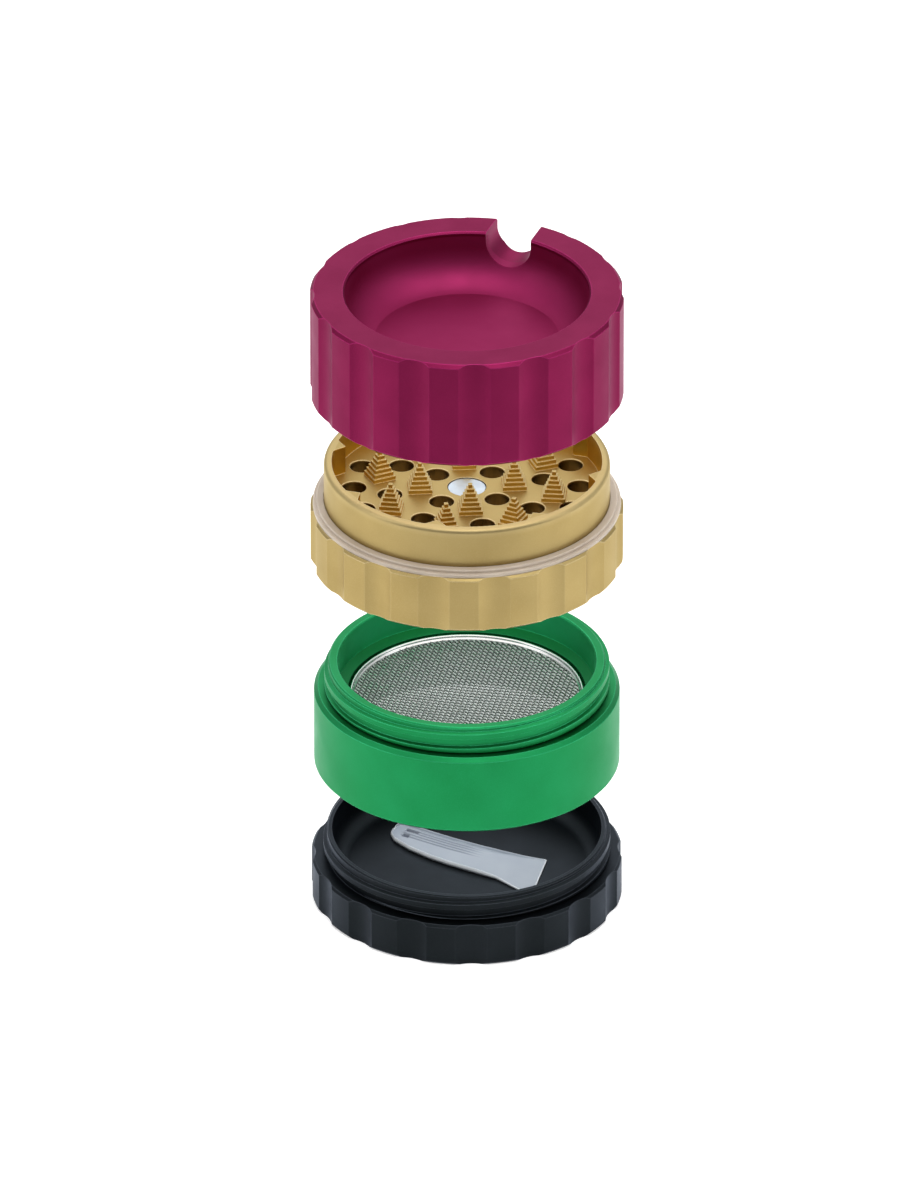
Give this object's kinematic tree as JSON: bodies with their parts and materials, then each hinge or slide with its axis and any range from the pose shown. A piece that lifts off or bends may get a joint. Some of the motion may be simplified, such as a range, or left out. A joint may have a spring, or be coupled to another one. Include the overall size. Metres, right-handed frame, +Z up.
{
  "type": "herb grinder",
  "caption": "Round aluminium herb grinder drawn apart: dished lid with a rest notch, toothed grinding chamber, threaded sieve chamber with mesh screen, and a base tray with a scraper.",
  "frame": {"origin": "centre of the base tray's underside, on the grinder's axis, at floor level", "axes": "+Z up along the grinder's axis; the notch in the lid points to +Y, turned 23 degrees towards +X"},
  "size_m": [0.063, 0.063, 0.138],
  "materials": {
    "magenta_anodised": "bead-blasted satin, anodised deep magenta",
    "gold_anodised": "bead-blasted satin, anodised gold",
    "green_anodised": "bead-blasted satin, anodised green",
    "black_anodised": "bead-blasted satin, anodised black",
    "clear_plastic": "moulded, frosted translucent",
    "nylon_ring": "turned nylon, translucent",
    "polished_steel": "rolled and polished stainless steel",
    "steel_mesh": "woven stainless wire",
    "magnet_nickel": "nickel plated"
  },
  "bodies": {
    "base_tray": {"base_tray": "black_anodised"},
    "scraper": {"scraper": "clear_plastic"},
    "screen": {"screen_rim": "polished_steel", "screen_mesh": "steel_mesh"},
    "sieve_chamber": {"sieve_chamber": "green_anodised"},
    "chamber_magnet": {"chamber_magnet": "magnet_nickel"},
    "grinding_chamber": {"grinding_chamber": "gold_anodised"},
    "slip_ring": {"slip_ring": "nylon_ring"},
    "lid": {"lid": "magenta_anodised", "lid_magnet": "magnet_nickel"}
  },
  "joints": [
    {"name": "scraper_lift", "type": "slide", "parent": "base_tray", "child": "scraper", "axis": [0, 0, 1], "range_m": [0, 0.01]},
    {"name": "sieve_lift", "type": "slide", "parent": "base_tray", "child": "screen", "axis": [0, 0, 1], "range_m": [-0.0216, 0]},
    {"name": "sieve_turn", "type": "hinge", "parent": "screen", "child": "sieve_chamber", "pos_m": [0, 0, 0], "axis": [0, 0, 1], "range_deg": [-2429, 0]},
    {"name": "chamber_lift", "type": "slide", "parent": "sieve_chamber", "child": "chamber_magnet", "axis": [0, 0, 1], "range_m": [-0.0298, 0]},
    {"name": "chamber_turn", "type": "hinge", "parent": "chamber_magnet", "child": "grinding_chamber", "pos_m": [0, 0, 0], "axis": [0, 0, 1], "range_deg": [-3352, 0]},
    {"name": "grind_turn", "type": "hinge", "parent": "grinding_chamber", "child": "slip_ring", "pos_m": [0, 0, 0], "axis": [0, 0, 1], "continuous": true},
    {"name": "lid_lift", "type": "slide", "parent": "slip_ring", "child": "lid", "axis": [0, 0, 1], "range_m": [-0.02418, 0]}
  ],
  "couplings": [
    {"joint": "sieve_lift", "follows": "sieve_turn", "m_per_rad": 0.0005093},
    {"joint": "chamber_lift", "follows": "chamber_turn", "m_per_rad": 0.0005093}
  ]
}
